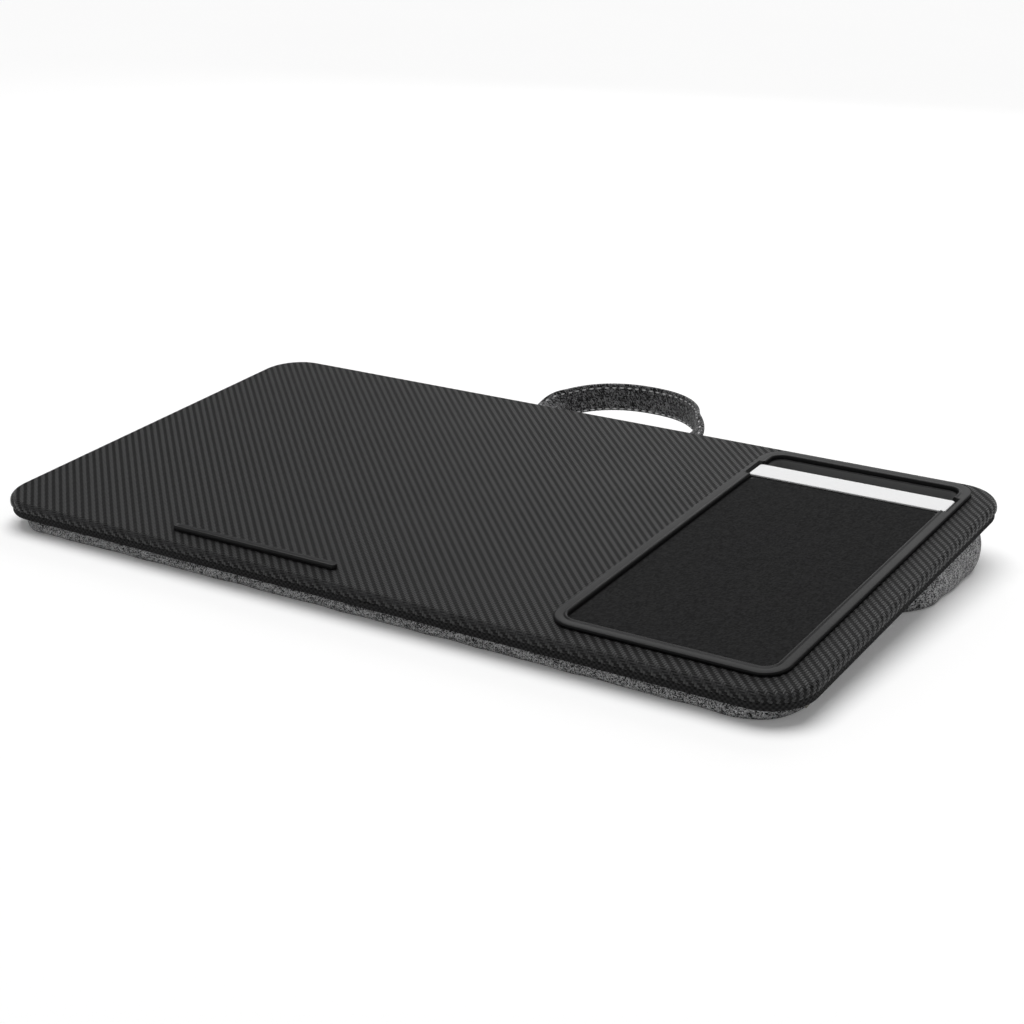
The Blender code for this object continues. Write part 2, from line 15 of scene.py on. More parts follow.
import bpy
import numpy as np
from mathutils import Matrix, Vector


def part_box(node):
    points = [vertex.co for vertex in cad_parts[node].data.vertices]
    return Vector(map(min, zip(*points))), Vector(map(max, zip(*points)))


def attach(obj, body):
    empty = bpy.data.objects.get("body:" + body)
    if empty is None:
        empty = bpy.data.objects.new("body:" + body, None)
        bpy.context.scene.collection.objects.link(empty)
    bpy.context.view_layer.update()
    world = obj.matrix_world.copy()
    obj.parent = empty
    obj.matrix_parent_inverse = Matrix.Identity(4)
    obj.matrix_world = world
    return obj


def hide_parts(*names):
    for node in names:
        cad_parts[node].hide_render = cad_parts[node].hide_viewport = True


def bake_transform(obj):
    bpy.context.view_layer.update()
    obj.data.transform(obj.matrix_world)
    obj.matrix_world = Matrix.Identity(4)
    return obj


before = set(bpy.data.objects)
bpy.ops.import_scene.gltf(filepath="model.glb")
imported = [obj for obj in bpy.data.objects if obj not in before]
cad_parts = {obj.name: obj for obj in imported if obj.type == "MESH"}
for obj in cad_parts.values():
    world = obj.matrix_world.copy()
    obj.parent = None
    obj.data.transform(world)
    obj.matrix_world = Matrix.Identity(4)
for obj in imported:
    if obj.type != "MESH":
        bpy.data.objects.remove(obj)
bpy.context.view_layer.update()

# %% [markdown]
# ## The board's own frame
#
# The desk stands tilted by four degrees, low edge to the front. Every hard piece is described
# flat, with the top of the cover at zero, and its array of points is then turned and lifted. Each
# finished object stays at the origin, unturned, so patterns that read its coordinates stay put.

# %% From the board's frame to the room
TILT = math.radians(4.0)
LIFT, SHIFT = 0.030712, -0.029924
BOARD, BOARD_CORNER = (0.574, 0.31), 0.029
ROLL = 0.0042  # radius of the cover's rolled edge
COVER_UNDER = -0.006  # height of the cover's underside
CLOTH_UNDER = -0.0112  # height of the base cloth's underside


def to_room(points):
    """Turn by the tilt about X, then shift along Y and lift: y' = shift + y cos t - z sin t,
    z' = lift + y sin t + z cos t. Works on an array of any shape whose last axis is x, y, z."""
    x, y, z = np.moveaxis(np.asarray(points, float), -1, 0)
    c, s = math.cos(TILT), math.sin(TILT)
    return np.stack([x, SHIFT + y * c - z * s, LIFT + y * s + z * c], -1)


print("front edge stands at mm:", np.round(to_room((0, -BOARD[1] / 2, 0))[2] * 1000, 2))

# %% [markdown]
# ## A rounded rectangle as a formula
#
# Nearly every piece follows a rounded rectangle: the board, the rim, the pad, the slot. One
# function gives its points and the outward direction at each. Outlines made with the same counts
# match point for point, so a surface can run from one to another, as the top of the cover does
# from the board's edge to the tray's opening.

# %% Outlines and rings
EVEN = dict(corner=14, side=60)  # points on a corner and on a side
FINE = dict(corner=12, side=180)  # for sides that carry short details
SMALL = dict(corner=10, side=24)
TIGHTEST = 0.0004  # no corner of a ring gets sharper than this


def outline(size, radius, centre=(0, 0), corner=10, side=40):
    """Anticlockwise from the right rear corner. Corner k is its own centre plus radius times
    (cos a, sin a), with a from 90k to 90k + 90 degrees; a side is the straight line to the next
    corner. radius may be four values. Returns points and outward normals, both (n, 2)."""
    radius = np.broadcast_to(radius, 4)[:, None]
    angle = np.linspace(0, np.pi / 2, corner + 1) + np.arange(4)[:, None] * np.pi / 2
    normal = np.stack([np.cos(angle), np.sin(angle)], -1)
    signs = np.array([(1, 1), (-1, 1), (-1, -1), (1, -1)])
    arcs = (signs * (np.array(size) / 2 - radius))[:, None] + radius[:, None] * normal
    t = (np.arange(1, side) / side)[None, :, None]
    runs = arcs[:, -1:] * (1 - t) + np.roll(arcs, -1, 0)[:, :1] * t
    flat = np.repeat(normal[:, -1:], side - 1, axis=1)
    points = np.concatenate([arcs, runs], 1).reshape(-1, 2) + centre
    return points, np.concatenate([normal, flat], 1).reshape(-1, 2)


def rings(size, radius, profile, centre=(0, 0), **counts):
    """A profile carried round an outline: for each (inset, height) the outline is drawn again,
    smaller by the inset on every side and with its corners tighter by as much."""
    levels = []
    for inset, height in np.asarray(profile, float):
        corners = np.maximum(radius - inset, TIGHTEST)
        ring, _ = outline(np.array(size) - 2 * inset, corners, centre, **counts)
        levels.append(np.column_stack([ring, np.full(len(ring), height)]))
    return np.array(levels)


def bridge(start, end, steps):
    """Straight lines between two matching rings: (1 - t) start + t end, without the ends."""
    t = (np.arange(1, steps) / steps)[:, None, None]
    return start[None] * (1 - t) + end[None] * t


def travelled(points):
    """Distance along a line of points, zero at the first."""
    return np.concatenate([[0], np.cumsum(np.linalg.norm(np.diff(points, axis=0), axis=1))])


def smooth(value):
    """Zero below 0, one above 1, and 3v^2 - 2v^3 between."""
    value = np.clip(value, 0, 1)
    return value * value * (3 - 2 * value)


# %% [markdown]
# ## Arrays into meshes
#
# A stack of rings is a grid whose columns close on themselves. Its faces are worked out as arrays
# too, and `foreach_set` hands everything to Blender in one go. A fan to a middle point closes the
# ends, so that no piece is left open.

# %% Grids and caps
def grid_faces(rows, columns, loop=False):
    """Face (i, j) joins points (i, j), (i, j+1), (i+1, j+1), (i+1, j). Columns wrap round; rows
    wrap too when the surface is a closed tube."""
    i = np.arange(rows if loop else rows - 1)[:, None]
    j = np.arange(columns)[None]
    k, m = (i + 1) % rows, (j + 1) % columns
    return np.stack([i * columns + j, i * columns + m, k * columns + m, k * columns + j],
                    -1).reshape(-1, 4)


def shell(stack, caps=(), loop=False):
    """Points and faces of a stack of rings (k, n, 3); caps lists which ends get a fan, 0 or -1."""
    rows, columns = stack.shape[:2]
    points, faces = stack.reshape(-1, 3), [grid_faces(rows, columns, loop)]
    for end in caps:
        ring = np.arange(columns) + (rows - 1) * columns * (end == -1)
        fan = np.stack([ring, np.roll(ring, -1), np.full(columns, len(points))], -1)
        faces.append(fan if end == -1 else fan[:, ::-1])
        points = np.vstack([points, stack[end].mean(0)])
    return points, faces


def corner_map(grid):
    """UV pairs for each face corner from a (rows, columns + 1, 2) grid, whose last column is the
    first one again, further on by the whole loop, so no face runs backwards."""
    return np.stack([grid[:-1, :-1], grid[:-1, 1:], grid[1:, 1:], grid[1:, :-1]], 2).reshape(-1, 2)


# %% Meshes and finished pieces
def make_mesh(name, points, faces, uv=None):
    """Fill a new mesh from arrays."""
    corners = np.concatenate([part.ravel() for part in faces])
    sizes = np.concatenate([np.full(len(part), part.shape[1]) for part in faces])
    mesh = bpy.data.meshes.new(name)
    mesh.vertices.add(len(points))
    mesh.vertices.foreach_set("co", np.asarray(points, np.float32).ravel())
    mesh.loops.add(len(corners))
    mesh.loops.foreach_set("vertex_index", corners.astype(np.int32))
    mesh.polygons.add(len(sizes))
    mesh.polygons.foreach_set("loop_start", (np.cumsum(sizes) - sizes).astype(np.int32))
    mesh.update(calc_edges=True)
    if uv is not None:
        layer = mesh.uv_layers.new(name="cloth")
        layer.data.foreach_set("uv", np.asarray(uv, np.float32).ravel())
    mesh.shade_smooth()
    mesh.set_sharp_from_angle(angle=math.radians(38))
    return mesh


def new_object(name, data):
    made = bpy.data.objects.new(name, data)
    bpy.context.scene.collection.objects.link(made)
    return made


def mark(made, values, name="edge"):
    """Write an attribute, one value a point; points past the list get zero."""
    marks = np.zeros(len(made.data.vertices), np.float32)
    marks[:len(values)] = values
    made.data.attributes.new(name, "FLOAT", "POINT").data.foreach_set("value", marks)


def thicken(made, thickness):
    """Turn a single sheet into a closed wall, inwards."""
    wall = made.modifiers.new("wall", "SOLIDIFY")
    wall.thickness, wall.offset = thickness, -1


def add_piece(name, shape, look, solids, uv=None, body="desk", room=False):
    """One finished piece: its mesh and material, with the solids it stands for hidden, and the body
    it rides on when one is given. A shape is in the board's or the room's frame."""
    points = shape[0] if room else to_room(shape[0])
    made = new_object(name, make_mesh(name, points, shape[1], uv))
    made.data.materials.append(look)
    if solids:
        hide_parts(*solids)
    if body:
        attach(made, body)
    size = np.round((points.max(0) - points.min(0)) * 1000, 1)
    print(f"{name}: {len(made.data.polygons)} faces, {size} mm")
    return made


# %% [markdown]
# ## Finishes from small parts
#
# A material is a graph, and graphs are quicker to read when the same few effects are named once.
# The next cells build node groups, from twill to worn edges with painted highlights. Each takes a
# position and a size or an amount and gives back masks, heights and tones. The Principled shader
# stays in the material.

# %% A shorthand for nodes
class Graph:
    """A node tree with short ways to add to it. An input is a number or another node's socket."""

    def __init__(self, tree):
        self.tree = tree

    def node(self, kind, inputs, **settings):
        """Add a node, set its properties, then fill its inputs. Returns its outputs."""
        made = self.tree.nodes.new("ShaderNode" + kind)
        for key, value in settings.items():
            setattr(made, key, value)
        for key, value in inputs.items():
            if isinstance(value, bpy.types.NodeSocket):
                self.tree.links.new(value, made.inputs[key])
            else:
                made.inputs[key].default_value = value
        return made.outputs

    def calc(self, operation, *values):
        return self.node("Math", dict(enumerate(values)), operation=operation)[0]

    def mul(self, a, b, plus=0.0):
        return self.calc("MULTIPLY_ADD", a, b, plus)

    def spread(self, value, low, high, to_low=0.0, to_high=1.0):
        """Map a range to another and hold it at the ends."""
        return self.node("MapRange", {"Value": value, "From Min": low, "From Max": high,
                                      "To Min": to_low, "To Max": to_high})[0]

    def noise(self, place, scale, detail):
        return self.node("TexNoise", {"Vector": place, "Scale": scale, "Detail": detail})[0]


def node_group(outputs, **inputs):
    """Turn a function into a node group of its name: it gets the graph, the position and the
    inputs whose defaults are given here, and returns a socket for each output."""
    def build(draw):
        tree = bpy.data.node_groups.new(draw.__name__.replace("_", " "), "ShaderNodeTree")
        tree.interface.new_socket("Position", in_out="INPUT", socket_type="NodeSocketVector")
        for key, value in inputs.items():
            socket = tree.interface.new_socket(key, in_out="INPUT", socket_type="NodeSocketFloat")
            socket.default_value = value
        for key in outputs:
            tree.interface.new_socket(key, in_out="OUTPUT", socket_type="NodeSocketFloat")
        given = tree.nodes.new("NodeGroupInput").outputs[:len(inputs) + 1]
        out = tree.nodes.new("NodeGroupOutput").inputs
        for key, socket in zip(outputs, draw(Graph(tree), *given)):
            tree.links.new(socket, out[key])
        return tree
    return build


# %% [markdown]
# ### Twill
#
# The cover is printed and embossed like woven carbon cloth. On a square grid of 1.6 mm cells, the
# cell in column i and row j shows a thread that runs front to back when (i + j) modulo 4 is 0 or
# 1, and one that runs across otherwise. That rule draws the diagonal stripes. Each thread is round
# in section, and the front-to-back ones carry two fine ribs.

# %% The twill group
@node_group(("Warp", "Height", "Groove_shade"), Cell=0.0016)
def twill(g, place, cell):
    column, row = (g.calc("DIVIDE", axis, cell) for axis in g.node("SeparateXYZ", {0: place})[:2])
    count = g.calc("ADD", g.calc("FLOOR", column), g.calc("FLOOR", row))
    warp = g.calc("LESS_THAN", g.calc("FLOORED_MODULO", count, 4.0), 1.5)

    def crown(value):
        side = g.mul(g.calc("FRACT", value), 2.0, -1.0)
        return g.calc("SUBTRACT", 1.0, g.mul(side, side))

    across, along = crown(column), crown(row)
    ribs = g.calc("SINE", g.mul(column, 4 * math.pi))
    threads = g.mul(ribs, 0.16, across)
    height = g.node("Mix", {0: warp, 2: along, 3: threads})[0]
    # The third output marks the grooves between threads, where the cover paints shade.
    return warp, height, g.spread(g.calc("MINIMUM", across, along), 0.0, 0.35, 1.0, 0.0)


# %% [markdown]
# ### Heathered cloth, plain weave and moulded grain
#
# Heathered cloth is spun from pale and dark fibres. Cells of a Voronoi texture, stretched along
# the thread, give that salt and pepper. A plain weave is the product of two sines, one each way.
# Moulded grain is noise at two sizes: a fine bump, and a broad drift of gloss.

# %% Cloth, weave and grain groups
@node_group(("Tone", "Height"), Thread=0.0007)
def heather(g, place, thread):
    turned = g.node("VectorRotate", {"Vector": place, "Angle": 0.7, "Axis": (0.25, 0.35, 0.9)})[0]
    shrunk = g.node("VectorMath", {0: turned, 1: (1.0, 0.48, 0.8)}, operation="MULTIPLY")[0]
    scale = g.calc("DIVIDE", 1.0, thread)
    cells = g.node("TexVoronoi", {"Vector": shrunk, "Scale": scale, "Randomness": 0.9})
    tone = g.node("SeparateColor", {0: cells["Color"]})[0]
    mixed = g.mul(g.noise(place, 260.0, 1.0), 0.5, g.mul(tone, 0.75))
    return mixed, g.spread(cells["Distance"], 0.0, 0.6, 1.0, 0.0)


@node_group(("Height",), Pitch=0.0008)
def weave(g, place, pitch):
    waves = [g.calc("SINE", g.calc("DIVIDE", g.mul(axis, math.pi), pitch))
             for axis in g.node("SeparateXYZ", {0: place})[:2]]
    return [g.spread(g.mul(*waves), -1.0, 1.0)]


@node_group(("Height", "Drift"), Size=0.0006)
def grain(g, place, size):
    return g.noise(place, g.calc("DIVIDE", 1.0, size), 1.0), g.noise(place, 22.0, 2.0)


# %% [markdown]
# ### Dust, and worn edges with painted highlights
#
# Two quiet effects stop black plastic from looking drawn: a few pale specks of lint, and edges
# in a paler colour, partly wear from hands and partly a painted highlight on the roundings. The
# specks are the few highest cells of a fine Voronoi texture. For the edges a mesh carries an
# attribute called edge, one on the roundings and zero on the flats, written from the profile that
# made the surface, and noise breaks it up.

# %% Dust, and wear and painted highlight groups
@node_group(("Specks", "Film"), Amount=0.5)
def dust(g, place, amount):
    cells = g.node("TexVoronoi", {"Vector": place, "Scale": 420.0})
    rare = g.node("SeparateColor", {0: cells["Color"]})[1]
    few = g.calc("GREATER_THAN", rare, g.mul(amount, -0.02, 1.0))
    dot = g.spread(cells["Distance"], 0.04, 0.1, 1.0, 0.0)
    film = g.spread(g.noise(place, 9.0, 3.0), 0.35, 0.75)
    return g.mul(few, dot), g.mul(film, amount)


@node_group(("Wear_and_highlight",), Edge=0.0, Amount=0.5)
def edge_wear_and_highlight(g, place, edge, amount):
    mask = g.mul(g.spread(g.noise(place, 90.0, 3.0), 0.38, 0.68), edge)
    return [g.mul(mask, amount)]


# %% [markdown]
# ## The materials
#
# Each material starts from the same small scaffold: a Principled shader, the position it reads,
# and one Bump node. A value that is the same everywhere goes straight on the shader's socket.

# %% Scaffold for a material
def grey(value, blue=None):
    """A neutral colour; its blue may differ a little."""
    return (value, value, blue or value)


class Finish(Graph):
    """A material in the making: its graph, its shader and the position it reads."""

    def __init__(self, name, roughness=0.5, specular=0.5, **sockets):
        self.look = bpy.data.materials.new(name)
        self.look.use_nodes = True
        super().__init__(self.look.node_tree)
        self.shader = self.tree.nodes["Principled BSDF"]
        sockets.update(Roughness=roughness, Specular_IOR_Level=specular)
        for key, value in sockets.items():
            self.shader.inputs[key.replace("_", " ")].default_value = value
        self.place = self.node("TexCoord", {})["Object"]

    def group(self, which, mapped=False, **inputs):
        """A node group that reads the object's position, or the cloth map where mapped."""
        place = self.node("UVMap", {}, uv_map="cloth")[0] if mapped else self.place
        return self.node("Group", {"Position": place, **inputs}, node_tree=which)

    def marks(self, name="edge"):
        return self.node("Attribute", {}, attribute_name=name)["Fac"]

    def mix(self, factor, *pair):
        """Blend two colours, given as (r, g, b) or as sockets."""
        a, b = (c if isinstance(c, bpy.types.NodeSocket) else (*c, 1.0) for c in pair)
        return self.node("Mix", {0: factor, 6: a, 7: b}, data_type="RGBA")[2]

    def feed(self, name, socket):
        self.tree.links.new(socket, self.shader.inputs[name])

    def done(self, colour, height, relief, rough=None):
        """Link the shader's colour, its bump and, where it varies, its roughness."""
        self.feed("Base Color", colour)
        bump = {"Height": height, "Distance": relief, "Strength": 1.0}
        self.feed("Normal", self.node("Bump", bump)[0])
        if rough is not None:
            self.feed("Roughness", rough)
        return self.look


# %% The twill cover
def cover_finish():
    """Pale and dark threads, with painted shade in the grooves between them, painted shade that
    darkens the rolled edge, which is also glossier, and paler rubbed edges that are partly wear and
    partly a painted highlight.
    """
    look = Finish("twill cover", specular=0.19)
    cloth = look.group(twill, mapped=True)
    fine = look.group(grain, Size=0.0004)
    edge = look.marks()
    wear_and_highlight = look.group(edge_wear_and_highlight, Edge=edge)["Wear_and_highlight"]
    base = look.mix(cloth["Warp"], grey(0.002, 0.0021), grey(0.056, 0.0565))
    # Painted shade: the grooves between the threads are darkened.
    base = look.mix(cloth["Groove_shade"], base, grey(0.004))
    base = look.mix(look.group(dust, Amount=0.25)["Specks"], base, grey(0.2))
    # Painted shade on the rolled edge: both thread tones are darker there.
    painted_roll_shade = look.mix(cloth["Warp"], grey(0.0015), grey(0.038, 0.0385))
    base = look.mix(look.mul(edge, 0.8), base, painted_roll_shade)
    # The roll's rubbed edges turn paler: partly wear, partly a painted highlight.
    base = look.mix(wear_and_highlight, base, grey(0.045, 0.047))
    rough = look.spread(cloth["Warp"], 0.0, 1.0, 0.54, 0.32)
    for mask, share in (fine["Drift"], 0.1), (edge, -0.2), (wear_and_highlight, -0.05):
        rough = look.mul(mask, share, rough)
    return look.done(base, look.mul(fine["Height"], 0.12, cloth["Height"]), 0.00045, rough)


COVER_LOOK = cover_finish()


# %% Moulded plastics and rubber
def moulded(name, colour, pale, roughness, size, relief, wear_and_highlight=0.5, lint=0.3, walls=None,
            **sockets):
    """Fine grain, a drift of gloss, a little dust, and marked edges in the pale colour, partly wear
    and partly a painted highlight. Walls is a paler colour painted on the walls where the mesh's
    deep attribute is one, painted light on the one moulding."""
    look = Finish(name, roughness, **sockets)
    fine, specks = look.group(grain, Size=size), look.group(dust, Amount=lint)
    # Marked edges take the pale colour: partly wear, partly a painted highlight.
    edge_mask_wear_highlight = look.group(edge_wear_and_highlight, Edge=look.marks(), Amount=wear_and_highlight)["Wear_and_highlight"]
    base = look.mix(specks["Film"], colour, pale)
    base = look.mix(specks["Specks"], base, [min(1.0, c * 3 + 0.1) for c in pale])
    # Painted light: the walls marked deep get the paler wall colour.
    if walls:
        base = look.mix(look.marks("deep"), base, walls)
    rough = look.mul(edge_mask_wear_highlight, -0.12, look.mul(fine["Drift"], 0.16, roughness - 0.08))
    return look.done(look.mix(edge_mask_wear_highlight, base, pale), fine["Height"], relief, rough)


TRAY_LOOK = moulded("tray plastic", grey(0.007, 0.0072), grey(0.015, 0.0153), 0.36, 0.00055,
                    0.00004, wear_and_highlight=0.3, walls=grey(0.28, 0.282), specular=0.18)
BAR_LOOK = moulded("stop bar rubber", grey(0.007, 0.0072), grey(0.016, 0.0165), 0.38, 0.0005,
                   0.00002, specular=0.3)
RUBBER_LOOK = moulded("pad rubber", grey(0.016), grey(0.03), 0.75, 0.0007, 0.00005)
STRIP_LOOK = moulded("pale strip", (0.86, 0.862, 0.865), (0.76, 0.762, 0.765), 0.34, 0.0009,
                     0.00001, wear_and_highlight=0.25, lint=0.1)


# %% Cloths, tape, webbing and foams
def heathered(name, dark, light, thread, relief, low, high, roughness=0.92, specular=0.25,
              sheen=0.15, mapped=False):
    """Spun fibres: the thread's tone, from low to high, picks a colour from dark to light."""
    look = Finish(name, roughness, specular, Sheen_Weight=sheen)
    cloth = look.group(heather, mapped, Thread=thread)
    tone = look.spread(cloth["Tone"], low, high)
    return look.done(look.mix(tone, dark, light), cloth["Height"], relief)


def woven(name, dark, light, pitch, relief, mapped=True):
    """Plain woven cloth: the colour follows the weave's height, paler on the crowns and darker in
    the hollows, which is painted light and shade, and dust lies in it.
    """
    look = Finish(name, 0.85, specular=0.12)
    height = look.group(weave, mapped, Pitch=pitch)["Height"]
    specks = look.group(dust, Amount=0.3)
    # Painted light and shade: the weave's height makes the crowns paler and the hollows darker.
    tone = look.mul(specks["Film"], 0.5, look.mul(height, 0.6))
    base = look.mix(specks["Specks"], look.mix(tone, dark, light), grey(0.12))
    return look.done(base, height, relief)


def foamed(name, shade, colour, size):
    """Foam: darker where the grain is low, painted shade in the open cells between their walls."""
    look = Finish(name, 0.95, specular=0.2)
    height = look.group(grain, Size=size)["Height"]
    # Painted shade: the colour darkens in the foam's low cells.
    return look.done(look.mix(look.spread(height, 0.2, 1.0), shade, colour), height, 0.0003)


CLOTH_LOOK = heathered("heathered cloth", grey(0.006, 0.0065), grey(0.64, 0.645),
                       thread=0.00042, relief=0.0003, low=0.4, high=0.9)
STRAP_LOOK = heathered("heathered strap cloth", grey(0.004, 0.0045), grey(0.3, 0.305),
                       thread=0.00055, relief=0.00025, low=0.5, high=1.0, mapped=True)
TAPE_LOOK = woven("binding tape", grey(0.004), grey(0.055, 0.056), 0.0016, 0.0006)
PAD_LOOK = heathered("pad cloth", grey(0.008, 0.0082), grey(0.02, 0.0204), thread=0.0007,
                     relief=0.00003, low=0.3, high=0.95, specular=0.12, sheen=0.0)
WEB_LOOK = woven("webbing", grey(0.02), grey(0.07), 0.0012, 0.0002)
THREAD_LOOK = woven("sewing thread", grey(0.62, 0.625), grey(0.85, 0.855), 0.0004, 0.0001, False)
FILL_LOOK = foamed("cushion foam", (0.42, 0.4, 0.33), (0.72, 0.7, 0.62), 0.0012)
SHEET_FOAM_LOOK = foamed("sheet foam", grey(0.035), grey(0.1), 0.0008)

# %% [markdown]
# ## The wrapped cover
#
# On the real desk a thin sheet is drawn over the board and round its edge, so the twill runs on
# over the roll without a break, where a pattern projected from above smears down the sides. Here
# a profile goes once round the board's outline, and each point also gets its place in the sheet
# laid out flat: that of the flat edge plus the distance along the profile, outwards. The twill
# reads that map.

# %% Cover surface
TRAY, TRAY_CORNER, TRAY_CENTRE = (0.1432, 0.285), 0.016, (0.1979, 0.0034)
HOLE_INSET, HOLE_LIP = 0.0035, 0.0008  # the cover's edge under the tray's rim


def roll_profile(lip=0.013, under=0.0008, steps=10):
    """Inset and height from under the board, round a small lower radius, up, and a quarter circle
    of the roll's radius on to the flat top."""
    a = np.linspace(0, np.pi / 2, steps + 1)
    lower = np.stack([under - under * np.sin(a), COVER_UNDER + under - under * np.cos(a)], -1)
    upper = np.stack([ROLL - ROLL * np.cos(a), -ROLL + ROLL * np.sin(a)], -1)
    return np.vstack([[(lip, COVER_UNDER + 0.0003)], lower, upper])


def make_cover():
    profile = roll_profile()
    stack = rings(BOARD, BOARD_CORNER, profile, **EVEN)
    _, out = outline(BOARD, BOARD_CORNER, **EVEN)
    laid = stack[-1, :, :2] + out * travelled(profile[::-1])[::-1, None, None]
    hole = rings(TRAY, TRAY_CORNER, [(HOLE_INSET, 0), (HOLE_INSET, -HOLE_LIP)], TRAY_CENTRE, **EVEN)
    surface = np.vstack([stack, bridge(stack[-1], hole[0], 14), hole])
    laid = np.vstack([laid, surface[len(stack):, :, :2]])
    laid = np.concatenate([laid, laid[:, :1]], 1)
    cover = add_piece("cover_sheet", shell(surface), COVER_LOOK, ["top_cover"],
                      corner_map(laid))
    # Mask of the rolled edge, which the cover's finish uses for its painted shade, its paler rubbed
    # edges and its gloss.
    painted_roll_shade = np.interp(np.arange(len(surface)), [0, 12, 17, 22], [0, 0.2, 1, 0])
    mark(cover, np.repeat(painted_roll_shade, surface.shape[1]))
    thicken(cover, 0.0006)


make_cover()

# %% [markdown]
# ## The tray
#
# The insert is one injection moulding: a rim that lies on the cover, a shallow pocket for the
# mouse pad and a deep trough for the phone. A profile round the rim gives the rounded outer edge
# and the raised bead inside it. The floor is two regions, before and behind the strip, and each
# runs from the rim's inner wall to its own opening and down.

# %% The tray's measures
RIM, RECESS_INSET = 0.0082, 0.0085  # from the tray's edge to its floor and to the openings
SLOT, SLOT_DEPTH = 0.0165, 0.02
STRIP = 0.0186  # room between the two openings
DECK, FLOOR = 0.0001, -0.003  # heights of the tray's deck and of the pad's pocket
BODY_UNDER, TROUGH_UNDER = -0.0046, -0.0214
TROUGH_CORNER = 0.0079

RECESS_WIDTH = TRAY[0] - 2 * RECESS_INSET
RECESS_BACK, RECESS_FRONT = (TRAY_CENTRE[1] + k * (TRAY[1] / 2 - RECESS_INSET) for k in (1, -1))
INNER_BACK, INNER_FRONT = (TRAY_CENTRE[1] + k * (TRAY[1] / 2 - RIM) for k in (1, -1))
STRIP_BACK = RECESS_BACK - SLOT
STRIP_FRONT = STRIP_BACK - STRIP
STRIP_CENTRE = (TRAY_CENTRE[0], (STRIP_FRONT + STRIP_BACK) / 2)
PAD_CENTRE = (TRAY_CENTRE[0], (STRIP_FRONT + RECESS_FRONT) / 2)
SLOT_CENTRE = (TRAY_CENTRE[0], STRIP_BACK + SLOT / 2)
TROUGH = (RECESS_WIDTH + 0.0022, SLOT + 0.0028)  # outside of the phone slot's walls

rim_profile = np.array([
    (6.4, 0.3), (0.5, 0.3), (0.12, 0.36), (0, 0.55), (0, 1.5), (0.1, 2.05), (0.38, 2.44),
    (0.8, 2.65), (1.3, 2.7), (3.2, 2.66), (5.2, 2.54), (5.7, 2.52), (6.05, 2.7), (6.5, 2.94),
    (7, 2.98), (7.45, 2.8), (7.85, 2.35), (8.1, 1.6), (8.2, 0.8), (8.2, 0.1)]) * 0.001


# %% Tray surface
def pocket(back, front, corners, size, radius, centre, levels):
    """A region of the tray's floor: from a rectangle with four corner radii, across the deck, to
    an opening, then down through the levels (inset, height)."""
    middle = (TRAY_CENTRE[0], (back + front) / 2)
    edge, _ = outline((TRAY[0] - 2 * RIM, back - front), corners, middle, **SMALL)
    edge = np.column_stack([edge, np.full(len(edge), DECK)])
    stack = rings(size, radius, levels, centre, **SMALL)
    return shell(np.vstack([edge[None], stack]), caps=(-1,))


def rim_rings(half=0.0096, fade=0.0012, floor=0.0003):
    """The rim, with its inner part let down on both sides for the strip's ends."""
    rim = rings(TRAY, TRAY_CORNER, rim_profile, TRAY_CENTRE, **FINE)
    past = np.abs(rim[..., 1] - STRIP_CENTRE[1]) - half
    notch = (1 - smooth(past / fade)) * smooth((rim_profile[:, :1] - 0.0048) / 0.0004)
    rim[..., 2] = rim[..., 2] * (1 - notch) + np.minimum(rim[..., 2], floor) * notch
    return rim


def make_tray():
    rim = rim_rings()
    square, curved = (0.0003, 0.0003), (TRAY_CORNER - RIM, TRAY_CORNER - RIM)
    pad = pocket(STRIP_CENTRE[1], INNER_FRONT, square + curved,
                 (RECESS_WIDTH, STRIP_FRONT - RECESS_FRONT), 0.0085, PAD_CENTRE,
                 [(0, DECK), (0.0003, -0.0003), (0.0003, FLOOR + 0.0006), (0.0009, FLOOR)])
    slot = pocket(INNER_BACK, STRIP_CENTRE[1], curved + square,
                  (RECESS_WIDTH - 0.0006, SLOT), 0.0065, SLOT_CENTRE,
                  [(-0.0003, DECK), (0, DECK - 0.0002), (0.0001, -0.001),
                   (0.0005, -SLOT_DEPTH + 0.0022), (0.0012, -SLOT_DEPTH + 0.0007),
                   (0.0026, -SLOT_DEPTH)])
    body = rings(np.array(TRAY) - 0.0132, 0.0094,
                 [(0, 0.0003), (0, -0.0042), (0.0006, BODY_UNDER)], TRAY_CENTRE, **FINE)
    trough = rings(TROUGH, TROUGH_CORNER,
                   [(0, BODY_UNDER), (0.0003, -0.02), (0.0018, TROUGH_UNDER)],
                   SLOT_CENTRE, **FINE)
    outside = np.vstack([body, trough])[::-1]
    shells = shell(np.vstack([outside, rim]), caps=(0,)), pad, slot
    starts = np.cumsum([0] + [len(points) for points, _ in shells])
    faces = [part + start for (_, parts), start in zip(shells, starts) for part in parts]
    tray = add_piece("tray_moulding", (np.vstack([points for points, _ in shells]), faces),
                     TRAY_LOOK, ["tray_insert"])
    # The rim's outer rounding and its bead are marked for the paler edge colour: painted
    # highlights, partly wear.
    heights = np.interp(np.arange(len(rim_profile)), [0, 3, 5, 8, 10, 13, 16, 18],
                        [0, 0.3, 1, 0.2, 0, 1, 0.6, 0])
    mark(tray, np.append(np.zeros(outside[..., 0].size), np.repeat(heights, rim.shape[1])))
    # The slot's walls are marked for the paler wall colour: painted light on the black moulding.
    depths = np.array([0, 0, 0.2, 1, 0.4, 0.1, 0])
    walls = np.repeat(depths, len(slot[0]) // len(depths))
    mark(tray, np.append(np.zeros(starts[2]), walls), "deep")


make_tray()

# %% [markdown]
# ## Mouse pad, divider strip and stop bar
#
# Each is a short profile round an outline. The pad is cloth on rubber and stands 0.4 mm above the
# cover. The strip's ends are let into the rim. The bar has a shallow hollow along its top.

